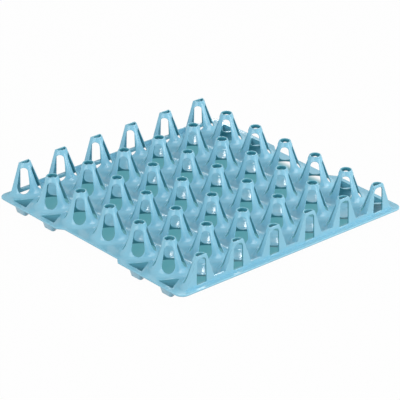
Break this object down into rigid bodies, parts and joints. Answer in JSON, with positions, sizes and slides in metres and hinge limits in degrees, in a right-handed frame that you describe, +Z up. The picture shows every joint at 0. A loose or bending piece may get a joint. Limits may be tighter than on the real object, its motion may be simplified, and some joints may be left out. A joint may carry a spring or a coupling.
{
  "type": "plastic egg tray",
  "caption": "Square moulded plastic tray whose hollow, windowed cones hold eggs upright in rows; stands on small feet and stacks with others.",
  "frame": {"origin": "middle of the tray, on the plane that its feet stand on", "axes": "+X along the rows of five pockets, towards a side with a grip; +Y along the rows of six, towards an end wall; +Z up, the way the cones point"},
  "size_m": [0.3, 0.295, 0.045],
  "materials": {
    "tray_plastic": "semi-gloss pale blue polyethylene"
  },
  "bodies": {
    "root": {"egg_tray": "tray_plastic"}
  },
  "joints": []
}
